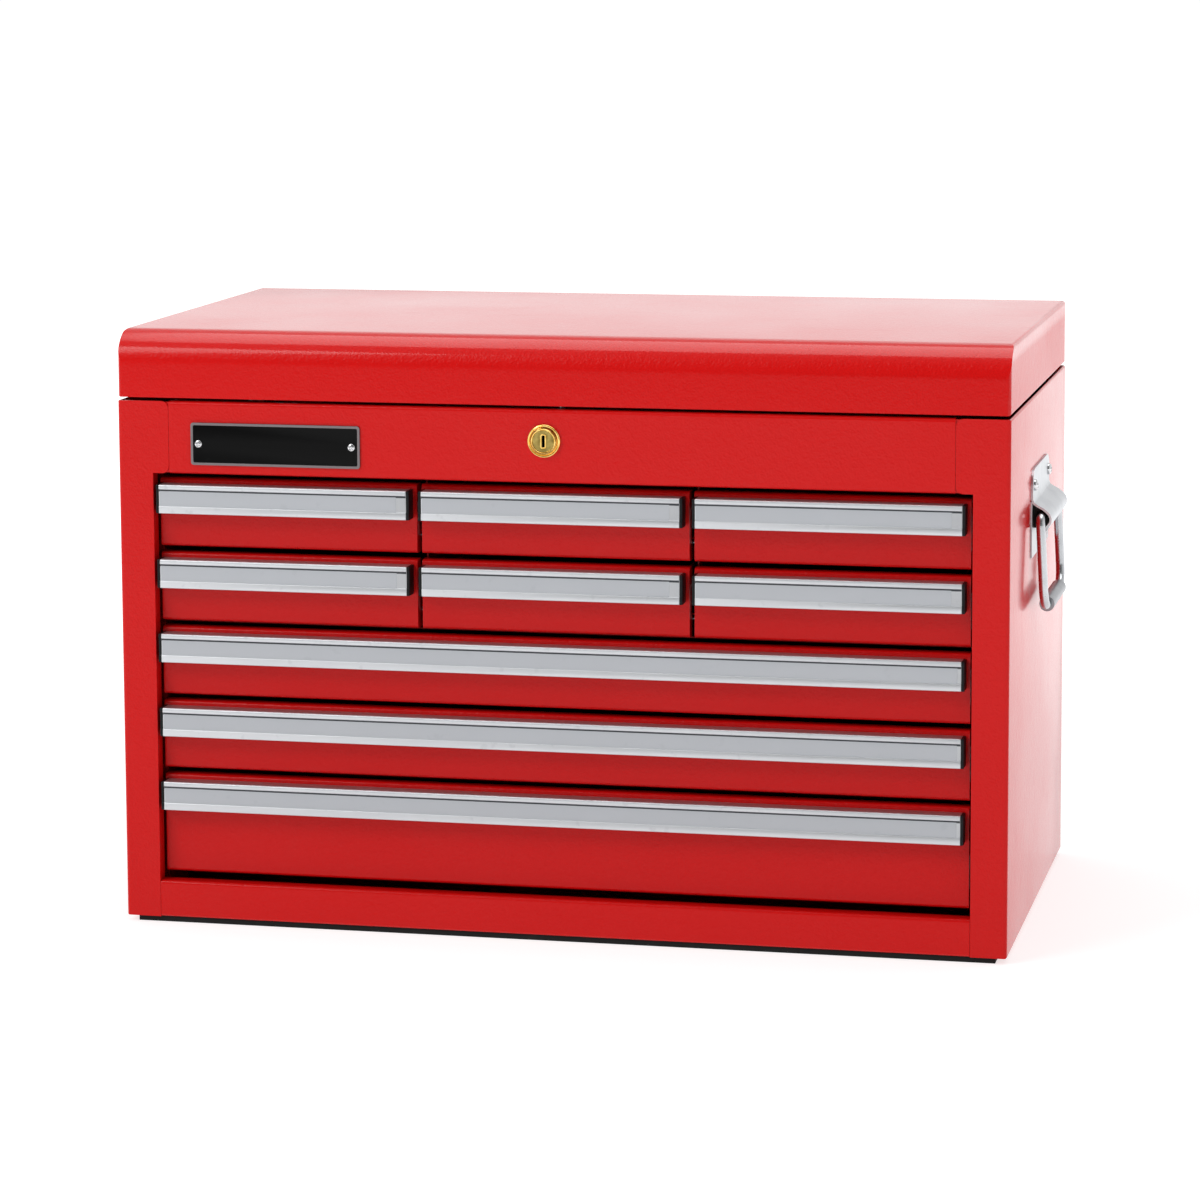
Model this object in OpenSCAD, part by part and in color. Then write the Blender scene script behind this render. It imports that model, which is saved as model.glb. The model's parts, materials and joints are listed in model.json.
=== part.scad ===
// Top tool chest: a sheet-metal cabinet with six small and three wide drawers,
// a hinged lid over an open till, folding side handles and a cylinder lock.
// Millimetres, +Z up, front towards -Y. The origin is on the floor under the middle of the chest.

/* [Cabinet] */
// Overall width of the cabinet shell
cab_w = 616; // [560:1:700]
// Depth of the cabinet shell, front plane to rear plane
cab_d = 335; // [300:1:420]
// Height of the cabinet shell above its feet
body_h = 362; // [360:0.5:364]
// Thickness of every folded steel sheet
sheet = 1.2; // [1:0.1:1.4]
// Outside radius of the folds
fold_r = 2.4; // [2:0.1:3]
// Width of each front post
post_w = 24.8; // [22:0.1:27]
// Height of the panel above the drawers
top_rail_h = 50; // [49:0.5:51]
// Height of the rail below the drawers
bottom_rail_h = 25.7; // [24:0.1:27]
// How far the top corner of each post reaches in beside the top rail
post_tab = 11.6; // [10:0.1:14]
// Thickness of the rubber runners that the chest stands on
foot_h = 4; // [3:0.5:6]

/* [Lid] */
// Height of the lid
lid_h = 45.9; // [44:0.1:50]
// Gap between the cabinet and the lid
lid_gap = 2.3; // [2:0.1:2.6]
// Radius of the rolled front edge
lid_roll_r = 24; // [18:1:28]
// Radius of the rear top edge
lid_rear_r = 5; // [4:0.5:8]

/* [Drawers] */
// Distance from one drawer front to the next, top to top
row_pitch = 52; // [51.5:0.1:52.5]
// Gap between one drawer front and the next below it
row_gap = 4.4; // [4:0.1:5]
// Gap between two small drawer fronts side by side
column_gap = 3.4; // [3:0.1:4]
// Sideways offset of the two column gaps from the middle of the partitions
column_shift = -1.8; // [-2:0.1:2]
// Gap between a drawer front and the post beside it
post_gap = 2.1; // [1.8:0.1:2.6]
// How far the drawer fronts stand back from the front plane
front_recess = 9.5; // [9:0.1:10]
// Length of a drawer box from its front
drawer_depth = 308; // [280:1:308]

/* [Pulls] */
// Height of the extruded pull
pull_h = 20.1; // [18:0.1:21]
// How far the pull stands out from the drawer front
pull_proud = 12.2; // [11:0.1:12.6]
// Strip of drawer front left above the pull
pull_drop = 3.4; // [2.4:0.1:4]
// Drawer front left bare beyond the left end of the pull
pull_inset_left = 0.5; // [0.3:0.1:2]
// Drawer front left bare beyond the right end of the pull
pull_inset_right = 2.6; // [0.3:0.1:4]
// Thickness of each moulded end cap
cap_t = 2; // [1.5:0.1:3]

/* [Side handles] */
// Diameter of the bail's rod
bail_rod = 6.3; // [5.6:0.1:6.4]
// Drop from the bail's pivot to its bottom bar
bail_drop = 62.5; // [55:0.5:66]
// Diameter of the grip sleeve
grip_d = 10.5; // [9.5:0.1:12]
// Length of the grip sleeve
grip_len = 74; // [50:1:76]

/* [Lock] */
// Diameter of the lock's front ring
lock_ring_d = 23; // [22:0.1:24]
// How far the front ring stands out
lock_proud = 3.3; // [3:0.1:3.3]

/* [Hidden] */
$fn = 48;

eps = 0.01;
cut = 1;
fit = 0.05;
red = [0.78, 0.13, 0.12];
zinc = [0.80, 0.81, 0.83];

// Outside radius of the pressed edges of the panels and the lid
edge_r = 1.6;

// Levels, from the floor up
z_base = foot_h;
z_top = foot_h + body_h;
z_open_low = z_base + bottom_rail_h;
z_open_high = z_top - top_rail_h;
z_lid = z_top + lid_gap;
z_crown = z_lid + lid_h;

// Planes across and along the cabinet
half_w = cab_w / 2;
half_d = cab_d / 2;
inner_x = half_w - sheet;
post_x = half_w - post_w;
tab_x = post_x - post_tab;
seam = 0.2;
front_in = -half_d + sheet;
rear_flange = 12;
back_y = half_d - sheet;

// The fronts' plane, the drawer rows and the three bays
face_y = -half_d + front_recess;
front_top_1 = z_open_high - 4.2;
last_gap = 5;
bay_w = (2 * post_x - 2 * sheet) / 3;
slide_w = 10.4;
slide_len = 280;
slide_y = face_y + 12;
slide_h = 24;
rail_gap = 0.02;
box_lift = 2.5;
box_clear_top = 6.1;
hem_h = 5;

function is_small(i) = i <= 6;
function row_of(i) = is_small(i) ? floor((i - 1) / 3) : i - 5;
function column_of(i) = is_small(i) ? (i - 1) % 3 - 1 : 0;
function front_top(row) = front_top_1 - row * row_pitch;
function front_bottom(row) = row < 4 ? front_top(row) - row_pitch + row_gap : z_open_low + last_gap;
function bay_centre(i) = column_of(i) * (bay_w + sheet);
function bay_half(i) = is_small(i) ? bay_w / 2 : post_x;
function box_half(i) = bay_half(i) - slide_w;
function front_x(i, side) =
    !is_small(i) || column_of(i) == side ? side * (post_x - post_gap)
    : (column_of(i) + side / 2) * (bay_w + sheet) - side * column_gap / 2 + column_shift;
function slide_z(row) = front_bottom(row) + box_lift + 20;

// A folded sheet is a path of its outer face, thickened to one side
function unit(v) = v / norm(v);
function left_of(v) = [-v.y, v.x];
function arc(c, r, a0, a1, n = 6) =
    [for (i = [0:n]) c + r * [cos(a0 + (a1 - a0) * i / n), sin(a0 + (a1 - a0) * i / n)]];
function mitre(p, q, r) =
    let (a = left_of(unit(q - p)), b = left_of(unit(r - q))) (a + b) / (1 + a * b);
function shifted(path, t) =
    let (last = len(path) - 1)
    [for (i = [0:last]) path[i] + t * (
        i == 0 ? left_of(unit(path[1] - path[0]))
        : i == last ? left_of(unit(path[last] - path[last - 1]))
        : mitre(path[i - 1], path[i], path[i + 1]))];
function strip(path, t) =
    let (other = shifted(path, t))
    concat(path, [for (i = [len(path) - 1:-1:0]) other[i]]);

module along_x(x0, x1) {
    translate([x0, 0, 0]) rotate([90, 0, 90]) linear_extrude(x1 - x0) children();
}
module along_y(y0, y1) {
    translate([0, y1, 0]) rotate([90, 0, 0]) linear_extrude(y1 - y0) children();
}
module along_z(z0, z1) {
    translate([0, 0, z0]) linear_extrude(z1 - z0) children();
}
module block(x, y, z) {
    translate([x[0], y[0], z[0]]) cube([x[1] - x[0], y[1] - y[0], z[1] - z[0]]);
}
module rod_x(x0, x1, y, z, r) {
    translate([x0, y, z]) rotate([0, 90, 0]) cylinder(h = x1 - x0, r = r);
}
module rod_y(y0, y1, x, z, r) {
    translate([x, y0, z]) rotate([-90, 0, 0]) cylinder(h = y1 - y0, r = r);
}
module both_sides() {
    children();
    mirror([1, 0, 0]) children();
}

// ---- Cabinet shell ----

module side_panel() {
    tab_r = 5;
    plan = concat(
        [[post_x, -half_d]],
        arc([half_w - fold_r, -half_d + fold_r], fold_r, -90, 0),
        arc([half_w - fold_r, half_d - fold_r], fold_r, 0, 90),
        [[half_w - rear_flange, half_d]]);
    tab = concat(
        [[post_x + eps, z_open_high], [post_x + eps, z_top]],
        arc([tab_x + tab_r, z_top - tab_r], tab_r, 90, 180),
        arc([tab_x + tab_r, z_open_high + tab_r], tab_r, 180, 270));
    soft = concat(
        [[0, z_base]], arc([half_w - edge_r, z_base + edge_r], edge_r, -90, 0),
        arc([half_w - edge_r, z_top - edge_r], edge_r, 0, 90), [[0, z_top]]);
    difference() {
        intersection() {
            union() {
                along_z(z_base, z_top) polygon(strip(plan, sheet));
                along_y(-half_d, front_in) polygon(tab);
                block([post_x, post_x + sheet], [front_in - eps, face_y + 0.5],
                    [z_base + sheet, z_open_high]);
            }
            along_y(-half_d - cut, half_d + cut) polygon(soft);
        }
        for (y = rivet_ys) rod_x(inner_x - cut, half_w + cut, y, rivet_z, rivet_r + fit);
    }
}

module side_right() {
    color(red) side_panel();
}

module side_left() {
    color(red) mirror([1, 0, 0]) side_panel();
}

module back_panel() {
    path = concat(
        [[back_y, z_base]],
        arc([back_y - fold_r, z_hinge - hinge_clear - fold_r], fold_r, 0, 90),
        [[back_y - 14, z_hinge - hinge_clear]]);
    half = half_w - fold_r;
    color(red) difference() {
        along_x(-half, half) polygon(strip(path, sheet));
        both_sides()
            block([hinge_half, half_w], [back_y - 14 - cut, back_y - sheet],
                [z_hinge - hinge_clear - fold_r, z_top]);
    }
}

module base_pan() {
    lip = 10.5;
    r = fold_r;
    pan_back = back_y - sheet;
    path = concat(
        [[-half_d + lip, z_open_low]],
        arc([-half_d + r, z_open_low - r], r, 90, 180),
        arc([-half_d + r, z_base + r], r, 180, 270),
        arc([pan_back - r, z_base + r], r, 270, 360),
        [[pan_back, z_base + 18]]);
    color(red) difference() {
        along_x(-inner_x, inner_x) polygon(strip(path, sheet));
        both_sides() {
            block([post_x - seam, half_w], [-half_d - cut, front_in], [z_base - cut, z_open_high]);
            block([half_w - fold_r, half_w], [-half_d, -half_d + fold_r], [z_base - cut, z_open_high]);
            block([post_x - seam, half_w], [-half_d, -half_d + lip + cut], [z_base + sheet, z_open_high]);
        }
    }
}

module top_rail() {
    r = fold_r;
    lap = 8;
    path = concat(
        [[-half_d + 10, z_top]],
        arc([-half_d + r, z_top - r], r, 90, 180),
        arc([-half_d + r, z_open_high + r], r, 180, 270),
        [[-half_d + 14, z_open_high]]);
    color(red) difference() {
        union() {
            along_x(-tab_x + seam, tab_x - seam) polygon(strip(path, sheet));
            both_sides()
                block([tab_x - 20, tab_x + lap], [front_in, front_in + sheet],
                    [z_open_high + sheet / 2, z_top - sheet / 2]);
        }
        rod_y(-half_d - cut, front_in + cut, lock_x, lock_z, lock_barrel_r + fit);
        for (x = plate_screw_xs)
            rod_y(-half_d - cut, front_in + cut, x, plate_z, screw_r + fit);
    }
}

module till_floor() {
    rim = 3;
    z = z_open_high + sheet;
    front = -half_d + fold_r;
    rear = back_y - sheet;
    color([0.16, 0.16, 0.17]) difference() {
        block([-inner_x, inner_x], [front, rear], [z, z + rim]);
        block([-inner_x + sheet, inner_x - sheet], [front + sheet, rear - sheet],
            [z + sheet, z + rim + cut]);
    }
}

// The shelf under the small drawers, and the uprights and partitions that carry the slides
shelf_z = front_top(2) + (row_gap - sheet) / 2;
shelf_front = face_y + 14;

module divider_shelf() {
    color(red) block([-inner_x, inner_x], [shelf_front, back_y - sheet], [shelf_z, shelf_z + sheet]);
}

module slide_supports() {
    leg_d = 40;
    inside = back_y - sheet;
    partition_x = (bay_w + sheet) / 2;
    color(red) {
        for (s = [-1, 1])
            block([s * partition_x - sheet / 2, s * partition_x + sheet / 2],
                [shelf_front, inside], [shelf_z + sheet, z_open_high + sheet]);
        both_sides() for (z = [[z_base + sheet, shelf_z], [shelf_z + sheet, z_open_high + sheet]])
            for (y = [slide_y, inside - leg_d - 20])
                difference() {
                    block([post_x, inner_x], [y, y + leg_d], z);
                    block([post_x + sheet, inner_x + cut], [y + sheet, y + leg_d - sheet],
                        [z[0] - cut, z[1] + cut]);
                }
    }
}

// A slide's outer channel on the mounting face at x = 0, open towards -X
module outer_channel() {
    d = 9.8;
    h = slide_h / 2;
    path = [[-d, h], [0, h], [0, -h], [-d, -h]];
    along_y(slide_y, slide_y + slide_len) polygon(strip(path, -sheet));
}

// The inner channel on the drawer's side, nested in the outer one
module inner_channel() {
    reach = 8;
    h = slide_h / 2 - 3;
    path = [[-slide_w + reach, h], [-slide_w, h], [-slide_w, -h], [-slide_w + reach, -h]];
    along_y(slide_y, slide_y + slide_len) polygon(strip(path, sheet));
}

module cabinet_slides() {
    color(zinc) for (i = [1:9])
        translate([bay_centre(i), 0, slide_z(row_of(i))])
            both_sides() translate([bay_half(i), 0, 0]) outer_channel();
}

module rubber_feet() {
    w = 26;
    inset = 2.5;
    end_inset = 8;
    color([0.08, 0.08, 0.08]) for (s = [-1, 1])
        translate([0, s * (half_d - inset - w / 2), 0])
            block([-half_w + end_inset, half_w - end_inset], [-w / 2, w / 2], [0, foot_h]);
}

// ---- Nameplate and lock ----

plate_x = [-255.3, -135.1];
plate_z = z_base + 333.1;
plate_h = 29.2;
plate_t = 1;
plate_screw_xs = [plate_x[0] + 5.5, plate_x[1] - 5.9];
screw_r = 1.5;
screw_head_r = 2.7;

module nameplate() {
    border = 1.8;
    r = 2;
    floor_t = 0.6;
    w = plate_x[1] - plate_x[0];
    color([0.10, 0.10, 0.10]) difference() {
        translate([plate_x[0], 0, plate_z - plate_h / 2])
            along_y(-half_d - plate_t, -half_d)
                polygon(concat(arc([w - r, plate_h - r], r, 0, 90), arc([r, plate_h - r], r, 90, 180),
                    arc([r, r], r, 180, 270), arc([w - r, r], r, 270, 360)));
        block([plate_x[0] + border, plate_x[1] - border],
            [-half_d - plate_t - cut, -half_d - floor_t],
            [plate_z - plate_h / 2 + border, plate_z + plate_h / 2 - border]);
        for (x = plate_screw_xs)
            rod_y(-half_d - plate_t - cut, -half_d + cut, x, plate_z, screw_r + fit);
    }
}

module nameplate_screws() {
    head_t = 1.4;
    slot = 0.9;
    under = -half_d - 0.6;
    color(zinc) for (x = plate_screw_xs) difference() {
        union() {
            rod_y(under - head_t, under, x, plate_z, screw_head_r);
            rod_y(under - eps, front_in + 5, x, plate_z, screw_r);
        }
        for (turn = [0, 90])
            translate([x, under - head_t, plate_z]) rotate([0, turn, 0])
                cube([3.4, 1.4, slot], center = true);
    }
}

lock_x = -6.5;
lock_z = z_base + 340.8;
lock_barrel_r = 8.9;
plug_r = 6;
face_r = 8.7;
barrel_end = -half_d + 17.3;
cam_y = [barrel_end + 0.5, barrel_end + 2.5];
tail = 7;

module lock_housing() {
    ring = lock_ring_d / 2;
    front = -half_d - lock_proud;
    color([0.83, 0.68, 0.32]) difference() {
        union() {
            translate([lock_x, -half_d, lock_z]) rotate([90, 0, 0]) rotate_extrude()
                polygon([[0, 0], [ring, 0], [ring, lock_proud * 0.45], [ring - 0.6, lock_proud * 0.6],
                    [ring - 1.3, lock_proud * 0.6], [ring - 1.6, lock_proud], [0, lock_proud]]);
            rod_y(-half_d - eps, barrel_end, lock_x, lock_z, lock_barrel_r);
            translate([lock_x, front_in + 4, lock_z]) rotate([90, 0, 0]) cylinder(h = 4, r = 13, $fn = 6);
        }
        rod_y(front - cut, barrel_end + cut, lock_x, lock_z, plug_r + fit);
        rod_y(front - cut, front + 1.5, lock_x, lock_z, face_r + fit);
    }
}

module lock_cylinder() {
    front = -half_d - lock_proud + 0.3;
    color([0.45, 0.40, 0.20]) difference() {
        union() {
            rod_y(front, front + 1.1, lock_x, lock_z, face_r);
            rod_y(front + eps, barrel_end + 0.3, lock_x, lock_z, plug_r);
            block([lock_x - tail / 2, lock_x + tail / 2], [barrel_end, cam_y[1] + 1.5],
                [lock_z - tail / 2, lock_z + tail / 2]);
        }
        block([lock_x - 0.9, lock_x + 0.9], [front - cut, front + 9], [lock_z - 4, lock_z + 4]);
    }
}

// The cam lies along -X when unlocked, and its finger leads the turn
module lock_cam() {
    arm_w = 11;
    reach = 28;
    finger_h = 5.5;
    finger_x = 13;
    outline = [[-reach, -arm_w / 2], [arm_w / 2, -arm_w / 2], [arm_w / 2, arm_w / 2],
        [-reach + finger_h, arm_w / 2], [-reach + finger_h, finger_x], [-reach, finger_x]];
    color(zinc) difference() {
        translate([lock_x, 0, lock_z]) along_y(cam_y[0], cam_y[1]) polygon(outline);
        block([lock_x - tail / 2, lock_x + tail / 2], [cam_y[0] - cut, cam_y[1] + cut],
            [lock_z - tail / 2, lock_z + tail / 2]);
    }
}

// ---- Lid and its hinge ----

lid_inset = 0.3;
lid_half_w = half_w - lid_inset;
lid_front = -half_d + 0.2;
lid_rear = back_y;
hinge_y = half_d + 1.1;
z_hinge = z_top + lid_gap / 2;
knuckle_r = 2.2;
hinge_clear = 4;
pin_r = 1.2;
hinge_half = 280;
knuckles = 28;
leaf_h = 18;

// The lid's outside, drawn smaller by g all round
module lid_form(g) {
    fold = 3 - g;
    low_r = g > 0 ? eps : edge_r;
    roll = lid_roll_r - g;
    rear = lid_rear_r - g;
    low = z_lid - (g > 0 ? cut : 0);
    side_profile = concat(
        [[lid_front + g, low]],
        arc([lid_front + g + roll, z_crown - g - roll], roll, 180, 90, 16),
        arc([lid_rear - g - rear, z_crown - g - rear], rear, 90, 0, 8),
        [[lid_rear - g, low]]);
    w = lid_half_w - g;
    front_profile = concat(
        arc([-w + low_r, low + low_r], low_r, 180, 270),
        arc([w - low_r, low + low_r], low_r, 270, 360),
        arc([w - fold, z_crown - g - fold], fold, 0, 90),
        arc([-w + fold, z_crown - g - fold], fold, 90, 180));
    plan = concat(
        arc([w - fold, lid_front + g + fold], fold, -90, 0),
        arc([w - fold, lid_rear - g - fold], fold, 0, 90),
        arc([-w + fold, lid_rear - g - fold], fold, 90, 180),
        arc([-w + fold, lid_front + g + fold], fold, 180, 270));
    intersection() {
        along_x(-w, w) polygon(side_profile);
        along_y(lid_front + g, lid_rear - g) polygon(front_profile);
        along_z(low, z_crown - g) polygon(plan);
    }
}

module lid() {
    rim = 6;
    color(red) difference() {
        lid_form(0);
        difference() {
            lid_form(sheet);
            difference() {
                block([-lid_half_w, lid_half_w], [lid_front, lid_rear], [z_lid - 2 * cut, z_lid + sheet]);
                block([-lid_half_w + rim, lid_half_w - rim], [lid_front + rim, lid_rear + cut],
                    [z_lid - 3 * cut, z_lid + sheet + cut]);
            }
        }
        block([-half_w, half_w], [lid_rear - 2 * sheet, lid_rear + cut],
            [z_lid - cut, z_hinge + hinge_clear]);
    }
}

module lid_strike() {
    x = lock_x + 8;
    t = 1.4;
    wall = lid_front + sheet;
    color(zinc) difference() {
        union() {
            block([x, x + 18], [wall, wall + t], [z_lid + 7, z_lid + 22]);
            block([x, x + t], [wall, barrel_end + 7], [z_lid + 5, z_lid + 22]);
            block([x, x + t], [-half_d + 11.5, barrel_end + 7], [lock_z + 17, z_lid + 22]);
        }
        block([x - cut, x + t + cut], [cam_y[0] - 1.6, cam_y[1] + 1.6], [lock_z + 21, lock_z + 33]);
    }
}

// One leaf of the piano hinge: 'up' is 1 for the lid's leaf and -1 for the cabinet's
module hinge_leaf(up) {
    pitch = 2 * hinge_half / knuckles;
    near = knuckle_r + 0.7;
    gap = 0.15;
    first = up > 0 ? 1 : 0;
    z_near = z_hinge + up * near;
    z_far = z_hinge + up * (near + leaf_h);
    color(zinc) difference() {
        union() {
            block([-hinge_half, hinge_half], [back_y, half_d],
                [min(z_near, z_far), max(z_near, z_far)]);
            for (i = [first:2:knuckles - 1]) {
                x = [-hinge_half + i * pitch + gap, -hinge_half + (i + 1) * pitch - gap];
                block(x, [back_y, half_d], [min(z_hinge, z_near), max(z_hinge, z_near)]);
                rod_x(x[0], x[1], hinge_y, z_hinge, knuckle_r);
            }
        }
        rod_x(-hinge_half - cut, hinge_half + cut, hinge_y, z_hinge, pin_r + fit);
    }
}

module hinge_cabinet_leaf() {
    hinge_leaf(-1);
}

module hinge_lid_leaf() {
    hinge_leaf(1);
}

module hinge_pin() {
    color(zinc) rod_x(-hinge_half, hinge_half, hinge_y, z_hinge, pin_r);
}

// ---- Lid struts ----
// Both pivots are at the same distance from the hinge, so the strut turns half as far as the lid

strut_x = 292;
strut_radius = 55;
low_angle = 46.7;
high_angle = 33.1;
strut_low = [hinge_y - strut_radius * cos(low_angle), z_hinge - strut_radius * sin(low_angle)];
strut_high = [hinge_y - strut_radius * cos(high_angle), z_hinge + strut_radius * sin(high_angle)];
strut_tilt = atan2(strut_low.x - strut_high.x, strut_high.y - strut_low.y);
strut_len = norm(strut_high - strut_low);
stud_r = 2.5;
eye_r = 5;
eye_w = 6;
tube_r = 6;
tube_span = [8, 58];
rod_r = 3;
neck_r = 2.8;
piston_r = 4.9;

module at_strut(point) {
    translate([strut_x, point.x, point.y]) rotate([strut_tilt, 0, 0]) children();
}

module eye() {
    difference() {
        union() {
            rod_x(-eye_w / 2, eye_w / 2, 0, 0, eye_r);
            cylinder(h = tube_span[0] + 1, r = neck_r);
        }
        rod_x(-eye_w, eye_w, 0, 0, stud_r + fit);
    }
}

module strut_tube() {
    bore_r = piston_r + fit;
    at_strut(strut_low) {
        eye();
        difference() {
            translate([0, 0, tube_span[0]]) cylinder(h = tube_span[1] - tube_span[0], r = tube_r);
            translate([0, 0, tube_span[0] + 3]) cylinder(h = tube_span[1] - tube_span[0] - 7, r = bore_r);
            translate([0, 0, tube_span[0] + 3]) cylinder(h = tube_span[1], r = rod_r + fit);
        }
    }
}

module strut_rod() {
    reach = strut_len - 12;
    piston_t = 4;
    at_strut(strut_high) mirror([0, 0, 1]) {
        eye();
        translate([0, 0, tube_span[0]]) cylinder(h = reach - tube_span[0], r = rod_r);
        translate([0, 0, reach - piston_t]) cylinder(h = piston_t, r = piston_r);
    }
}

module stud(point, wall_x) {
    plate = 11;
    plate_depth = 1.5;
    block([wall_x - plate_depth, wall_x], [point.x - plate, point.x + plate],
        [point.y - plate / 1.6, point.y + plate / 1.6]);
    rod_x(strut_x + eye_w / 2 + 1, wall_x - plate_depth + eps, point.x, point.y, 4.5);
    rod_x(strut_x - eye_w / 2 - 1, wall_x - plate_depth, point.x, point.y, stud_r);
    rod_x(strut_x - eye_w / 2 - 2, strut_x - eye_w / 2 - 0.6, point.x, point.y, 3.8);
}

module strut_studs_cabinet() {
    color(zinc) both_sides() stud(strut_low, inner_x);
}

module strut_studs_lid() {
    color(zinc) both_sides() stud(strut_high, lid_half_w - sheet);
}

module strut_tube_right() {
    color([0.12, 0.12, 0.13]) strut_tube();
}

module strut_tube_left() {
    color([0.12, 0.12, 0.13]) mirror([1, 0, 0]) strut_tube();
}

module strut_rod_right() {
    color(zinc) strut_rod();
}

module strut_rod_left() {
    color(zinc) mirror([1, 0, 0]) strut_rod();
}

// ---- Side handles ----

hanger_half = 50;
hanger_t = 1.5;
hanger_top = z_base + 313;
hanger_bottom = z_base + 252;
rivet_ys = [-42, 42];
rivet_z = z_base + 302;
rivet_r = 2;
rivet_head_r = 3.3;
pivot_x = half_w + 7;
pivot_z = z_base + 281;
bail_half = 53.8;
bail_lean = 3;
bail_top_r = 6;
bail_low_r = 15;

module handle_plate() {
    hump = [[hanger_t, 313], [hanger_t, 293], [2.4, 290.6], [4.8, 289], [8.6, 287], [11, 285.2],
        [13.3, 282.8], [14.4, 280], [14.2, 276.8], [12, 272.8], [8.6, 268.4]];
    outer = [for (p = hump) [half_w + p.x, z_base + p.y]];
    h = hanger_half;
    low = z_base + 266;
    r = 11;
    outline = concat(
        arc([h - r, hanger_top - r], r, 0, 90), arc([-h + r, hanger_top - r], r, 90, 180),
        arc([-h + r, low + r], r, 180, 270), arc([h - r, low + r], r, 270, 360));
    difference() {
        intersection() {
            along_y(-h, h) polygon(strip(outer, -hanger_t));
            along_x(half_w - cut, half_w + 16) polygon(outline);
        }
        for (y = rivet_ys) rod_x(half_w - cut, half_w + 3, y, rivet_z, rivet_r + fit);
    }
    block([half_w, half_w + 1], [-hanger_half, hanger_half], [hanger_bottom, z_base + 291]);
}

module handle_plate_right() {
    color(zinc) handle_plate();
}

module handle_plate_left() {
    color(zinc) mirror([1, 0, 0]) handle_plate();
}

module handle_rivets() {
    seat = half_w + hanger_t;
    dome = 1.8;
    color(zinc) both_sides() for (y = rivet_ys) {
        translate([seat, y, rivet_z]) rotate([0, 90, 0]) rotate_extrude()
            polygon(concat([[0, 0], [rivet_head_r, 0]],
                [for (a = [10:10:90]) [rivet_head_r * cos(a), dome * sin(a)]]));
        rod_x(inner_x, seat + eps, y, rivet_z, rivet_r);
        rod_x(inner_x - 1.2, inner_x, y, rivet_z, rivet_r + 1);
    }
}

// A quarter bend of round rod from the -Y axis to the -Z axis, about the origin
module bend(radius, rod) {
    rotate([90, 180, 90]) rotate_extrude(angle = 90) translate([radius, 0]) circle(r = rod);
}

module bail_half_loop() {
    r = bail_rod / 2;
    rod_y(-bail_half + bail_top_r, 0, 0, 0, r);
    translate([0, -bail_half + bail_top_r, -bail_top_r]) mirror([0, 0, 1]) bend(bail_top_r, r);
    translate([0, -bail_half, -bail_drop + bail_low_r])
        cylinder(h = bail_drop - bail_low_r - bail_top_r, r = r);
    translate([0, -bail_half + bail_low_r, -bail_drop + bail_low_r]) bend(bail_low_r, r);
    rod_y(-bail_half + bail_low_r, 0, 0, -bail_drop, r);
}

module at_pivot() {
    translate([pivot_x, 0, pivot_z]) rotate([0, -bail_lean, 0]) children();
}

module bail() {
    at_pivot() {
        bail_half_loop();
        mirror([0, 1, 0]) bail_half_loop();
    }
}

module grip() {
    at_pivot() difference() {
        rod_y(-grip_len / 2, grip_len / 2, 0, -bail_drop, grip_d / 2);
        rod_y(-grip_len, grip_len, 0, -bail_drop, bail_rod / 2 + fit / 2);
    }
}

module bail_right() {
    color(zinc) bail();
}

module bail_left() {
    color(zinc) mirror([1, 0, 0]) bail();
}

module grip_right() {
    color([0.75, 0.76, 0.78]) grip();
}

module grip_left() {
    color([0.75, 0.76, 0.78]) mirror([1, 0, 0]) grip();
}

// ---- Drawers ----

module front_tray(x0, x1, low, high) {
    lip = 10;
    r = fold_r;
    path = concat(
        [[face_y + lip, high]],
        arc([face_y + r, high - r], r, 90, 180),
        arc([face_y + r, low + r], r, 180, 270),
        [[face_y + lip, low]]);
    along_x(x0, x1) polygon(strip(path, sheet));
    for (x = [x0, x1 - sheet])
        block([x, x + sheet], [face_y + sheet / 2, face_y + lip], [low + sheet / 2, high - sheet / 2]);
}

module drawer_box(x0, x1, low, high) {
    front = face_y + sheet / 2;
    rear = face_y + drawer_depth;
    difference() {
        block([x0, x1], [front, rear], [low, high]);
        block([x0 + sheet, x1 - sheet], [front - cut, rear - sheet], [low + sheet, high + cut]);
    }
    for (x = [[x0, x0 + 2 * sheet], [x1 - 2 * sheet, x1]])
        block(x, [front, rear], [high - hem_h, high]);
}

module drawer(i) {
    row = row_of(i);
    low = front_bottom(row);
    high = front_top(row);
    c = bay_centre(i);
    color(red) {
        front_tray(front_x(i, -1), front_x(i, 1), low, high);
        drawer_box(c - box_half(i), c + box_half(i), low + box_lift, high - box_clear_top);
    }
    color(zinc) translate([c, 0, slide_z(row)])
        both_sides() translate([bay_half(i) + rail_gap, 0, 0]) inner_channel();
}

// The pull's section: x is the distance out from the drawer front, y is the height from its top
lip_top = 3.1;
lip_low = 4.9;
band_sink = 0.6;
pull_wall = 1.8;
pull_back_t = 1.5;

function pull_outline() = concat(
    [[0, 0]],
    arc([pull_proud - 1.2, -1.2], 1.2, 90, 0, 4),
    [[pull_proud, -lip_top], [pull_proud - band_sink, -lip_top - 0.4]],
    [[pull_proud - band_sink, lip_low - pull_h + 0.4], [pull_proud, lip_low - pull_h]],
    arc([pull_proud - 0.9, 0.9 - pull_h], 0.9, 0, -90, 4));

module pull(i) {
    inner = pull_proud - pull_wall - band_sink;
    section = concat(
        pull_outline(),
        [[inner, -pull_h], [inner, -3.4], [inner - 1.2, -2.2], [pull_back_t + 1, -2.2],
            [pull_back_t, -3.2], [pull_back_t, 4 - pull_h], [0, 4 - pull_h]]);
    place_pull(i, cap_t) polygon(section);
}

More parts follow.
